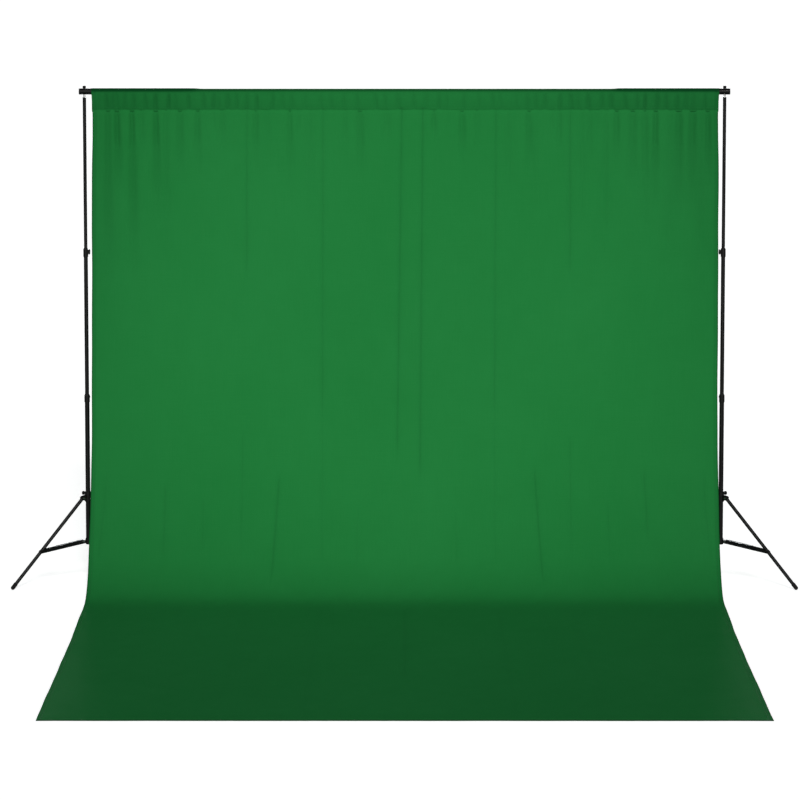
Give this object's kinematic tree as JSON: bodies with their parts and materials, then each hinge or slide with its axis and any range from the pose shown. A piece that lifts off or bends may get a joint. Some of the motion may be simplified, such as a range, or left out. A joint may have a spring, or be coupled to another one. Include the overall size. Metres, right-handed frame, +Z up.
{
  "type": "background support system",
  "caption": "Two black telescopic tripod stands joined by a sectional crossbar that carries a green cloth backdrop sweeping forward over the floor.",
  "frame": {"origin": "on the floor at the centre of the footprint; the stands and the crossbar are in the plane y = +1.42575 m", "axes": "+Z up, +X from the left stand to the right stand, -Y the way the cloth sweeps forward"},
  "size_m": [3.6428, 3.6484, 2.3197],
  "materials": {
    "black_tube": "satin",
    "black_plastic": "matte",
    "black_rubber": "matte",
    "rivet_steel": "satin",
    "bright_steel": "polished",
    "green_cloth": "matte"
  },
  "bodies": {
    "left_base": {"left_base_tube": "black_tube", "left_lower_hub": "black_plastic", "left_brace_rivets": "rivet_steel", "left_lower_clamp": "black_plastic", "backdrop_sweep": "green_cloth"},
    "left_mid": {"left_mid_tube": "black_tube", "left_mid_bush": "black_plastic", "left_upper_clamp": "black_plastic"},
    "left_leg_collar": {"left_leg_collar": "black_plastic", "left_leg_rivets": "rivet_steel"},
    "left_leg_outer": {"left_leg_outer": "black_tube", "left_foot_outer": "black_rubber"},
    "left_brace_outer": {"left_brace_outer": "black_tube"},
    "left_leg_inner": {"left_leg_inner": "black_tube", "left_foot_inner": "black_rubber"},
    "left_brace_inner": {"left_brace_inner": "black_tube"},
    "left_leg_rear": {"left_leg_rear": "black_tube", "left_foot_rear": "black_rubber"},
    "left_brace_rear": {"left_brace_rear": "black_tube"},
    "left_leg_lock_knob": {"left_leg_lock_knob": "black_plastic"},
    "left_lower_knob": {"left_lower_knob": "black_plastic"},
    "left_upper_knob": {"left_upper_knob": "black_plastic"},
    "left_thumb_nut": {"left_thumb_nut": "black_plastic"},
    "right_base": {"right_base_tube": "black_tube", "right_lower_hub": "black_plastic", "right_brace_rivets": "rivet_steel", "right_lower_clamp": "black_plastic"},
    "right_mid": {"right_mid_tube": "black_tube", "right_mid_bush": "black_plastic", "right_upper_clamp": "black_plastic"},
    "right_leg_collar": {"right_leg_collar": "black_plastic", "right_leg_rivets": "rivet_steel"},
    "right_leg_outer": {"right_leg_outer": "black_tube", "right_foot_outer": "black_rubber"},
    "right_brace_outer": {"right_brace_outer": "black_tube"},
    "right_leg_inner": {"right_leg_inner": "black_tube", "right_foot_inner": "black_rubber"},
    "right_brace_inner": {"right_brace_inner": "black_tube"},
    "right_leg_rear": {"right_leg_rear": "black_tube", "right_foot_rear": "black_rubber"},
    "right_brace_rear": {"right_brace_rear": "black_tube"},
    "right_leg_lock_knob": {"right_leg_lock_knob": "black_plastic"},
    "right_lower_knob": {"right_lower_knob": "black_plastic"},
    "right_upper_knob": {"right_upper_knob": "black_plastic"},
    "right_thumb_nut": {"right_thumb_nut": "black_plastic"},
    "crossbar": {"crossbar_outer_left": "black_tube", "crossbar_inner_left": "black_tube", "crossbar_inner_right": "black_tube", "crossbar_outer_right": "black_tube", "crossbar_centre_spigot": "black_tube", "crossbar_reducing_bushes": "black_plastic", "crossbar_end_caps": "black_plastic", "backdrop_drop": "green_cloth", "left_top_tube": "black_tube", "left_top_bush": "black_plastic", "left_stud": "bright_steel", "right_top_tube": "black_tube", "right_top_bush": "black_plastic", "right_stud": "bright_steel"}
  },
  "joints": [
    {"name": "lower_extension", "type": "slide", "parent": "left_base", "child": "left_mid", "axis": [0, 0, -1], "range_m": [0, 0.6], "deforming": ["backdrop_drop"]},
    {"name": "upper_extension", "type": "slide", "parent": "left_mid", "child": "crossbar", "axis": [0, 0, -1], "range_m": [0, 0.6], "deforming": ["backdrop_drop"]},
    {"name": "right_upper_extension", "type": "slide", "parent": "crossbar", "child": "right_mid", "axis": [0, 0, 1], "range_m": [0, 0.6]},
    {"name": "right_lower_extension", "type": "slide", "parent": "right_mid", "child": "right_base", "axis": [0, 0, 1], "range_m": [0, 0.6]},
    {"name": "left_leg_fold", "type": "slide", "parent": "left_base", "child": "left_leg_collar", "axis": [0, 0, 1], "range_m": [0, 0.332]},
    {"name": "left_leg_outer_hinge", "type": "hinge", "parent": "left_leg_collar", "child": "left_leg_outer", "pos_m": [-1.49838, 1.41225, 0.402], "axis": [0.5, -0.866, 0], "range_deg": [0, 40.05]},
    {"name": "left_brace_outer_hinge", "type": "hinge", "parent": "left_base", "child": "left_brace_outer", "pos_m": [-1.49838, 1.41225, 0.198], "axis": [-0.5, 0.866, 0], "range_deg": [0, 94.2]},
    {"name": "left_leg_inner_hinge", "type": "hinge", "parent": "left_leg_collar", "child": "left_leg_inner", "pos_m": [-1.45162, 1.41225, 0.402], "axis": [0.5, 0.866, 0], "range_deg": [0, 40.05]},
    {"name": "left_brace_inner_hinge", "type": "hinge", "parent": "left_base", "child": "left_brace_inner", "pos_m": [-1.45162, 1.41225, 0.198], "axis": [-0.5, -0.866, 0], "range_deg": [0, 94.2]},
    {"name": "left_leg_rear_hinge", "type": "hinge", "parent": "left_leg_collar", "child": "left_leg_rear", "pos_m": [-1.475, 1.45275, 0.402], "axis": [-1, 0, 0], "range_deg": [0, 40.05]},
    {"name": "left_brace_rear_hinge", "type": "hinge", "parent": "left_base", "child": "left_brace_rear", "pos_m": [-1.475, 1.45275, 0.198], "axis": [1, 0, 0], "range_deg": [0, 94.2]},
    {"name": "left_leg_lock_knob_turn", "type": "hinge", "parent": "left_leg_collar", "child": "left_leg_lock_knob", "pos_m": [-1.49232, 1.43575, 0.423], "axis": [-0.866, 0.5, 0], "range_deg": [0, 360]},
    {"name": "left_lower_knob_turn", "type": "hinge", "parent": "left_base", "child": "left_lower_knob", "pos_m": [-1.46982, 1.44507, 0.874], "axis": [0.2588, 0.9659, 0], "range_deg": [0, 360]},
    {"name": "left_upper_knob_turn", "type": "hinge", "parent": "left_mid", "child": "left_upper_knob", "pos_m": [-1.455, 1.42575, 1.552], "axis": [1, 0, 0], "range_deg": [0, 360]},
    {"name": "left_thumb_nut_turn", "type": "hinge", "parent": "crossbar", "child": "left_thumb_nut", "pos_m": [-1.475, 1.42575, 2.3073], "axis": [0, 0, 1], "range_deg": [0, 360]},
    {"name": "right_leg_fold", "type": "slide", "parent": "right_base", "child": "right_leg_collar", "axis": [0, 0, 1], "range_m": [0, 0.332]},
    {"name": "right_leg_outer_hinge", "type": "hinge", "parent": "right_leg_collar", "child": "right_leg_outer", "pos_m": [1.49838, 1.41225, 0.402], "axis": [0.5, 0.866, 0], "range_deg": [0, 40.05]},
    {"name": "right_brace_outer_hinge", "type": "hinge", "parent": "right_base", "child": "right_brace_outer", "pos_m": [1.49838, 1.41225, 0.198], "axis": [-0.5, -0.866, 0], "range_deg": [0, 94.2]},
    {"name": "right_leg_inner_hinge", "type": "hinge", "parent": "right_leg_collar", "child": "right_leg_inner", "pos_m": [1.45162, 1.41225, 0.402], "axis": [0.5, -0.866, 0], "range_deg": [0, 40.05]},
    {"name": "right_brace_inner_hinge", "type": "hinge", "parent": "right_base", "child": "right_brace_inner", "pos_m": [1.45162, 1.41225, 0.198], "axis": [-0.5, 0.866, 0], "range_deg": [0, 94.2]},
    {"name": "right_leg_rear_hinge", "type": "hinge", "parent": "right_leg_collar", "child": "right_leg_rear", "pos_m": [1.475, 1.45275, 0.402], "axis": [-1, 0, 0], "range_deg": [0, 40.05]},
    {"name": "right_brace_rear_hinge", "type": "hinge", "parent": "right_base", "child": "right_brace_rear", "pos_m": [1.475, 1.45275, 0.198], "axis": [1, 0, 0], "range_deg": [0, 94.2]},
    {"name": "right_leg_lock_knob_turn", "type": "hinge", "parent": "right_leg_collar", "child": "right_leg_lock_knob", "pos_m": [1.49232, 1.43575, 0.423], "axis": [0.866, 0.5, 0], "range_deg": [0, 360]},
    {"name": "right_lower_knob_turn", "type": "hinge", "parent": "right_base", "child": "right_lower_knob", "pos_m": [1.46982, 1.44507, 0.874], "axis": [-0.2588, 0.9659, 0], "range_deg": [0, 360]},
    {"name": "right_upper_knob_turn", "type": "hinge", "parent": "right_mid", "child": "right_upper_knob", "pos_m": [1.455, 1.42575, 1.552], "axis": [-1, 0, 0], "range_deg": [0, 360]},
    {"name": "right_thumb_nut_turn", "type": "hinge", "parent": "crossbar", "child": "right_thumb_nut", "pos_m": [1.475, 1.42575, 2.3073], "axis": [0, 0, 1], "range_deg": [0, 360]}
  ],
  "couplings": [
    {"joint": "right_upper_extension", "follows": "upper_extension", "ratio": 1},
    {"joint": "right_lower_extension", "follows": "lower_extension", "ratio": 1},
    {"joint": "left_leg_outer_hinge", "follows": "left_leg_fold", "rad_per_m": 2.1045},
    {"joint": "left_brace_outer_hinge", "follows": "left_leg_fold", "rad_per_m": 4.9492},
    {"joint": "left_leg_inner_hinge", "follows": "left_leg_fold", "rad_per_m": 2.1045},
    {"joint": "left_brace_inner_hinge", "follows": "left_leg_fold", "rad_per_m": 4.9492},
    {"joint": "left_leg_rear_hinge", "follows": "left_leg_fold", "rad_per_m": 2.1045},
    {"joint": "left_brace_rear_hinge", "follows": "left_leg_fold", "rad_per_m": 4.9492},
    {"joint": "right_leg_outer_hinge", "follows": "right_leg_fold", "rad_per_m": 2.1045},
    {"joint": "right_brace_outer_hinge", "follows": "right_leg_fold", "rad_per_m": 4.9492},
    {"joint": "right_leg_inner_hinge", "follows": "right_leg_fold", "rad_per_m": 2.1045},
    {"joint": "right_brace_inner_hinge", "follows": "right_leg_fold", "rad_per_m": 4.9492},
    {"joint": "right_leg_rear_hinge", "follows": "right_leg_fold", "rad_per_m": 2.1045},
    {"joint": "right_brace_rear_hinge", "follows": "right_leg_fold", "rad_per_m": 4.9492}
  ]
}
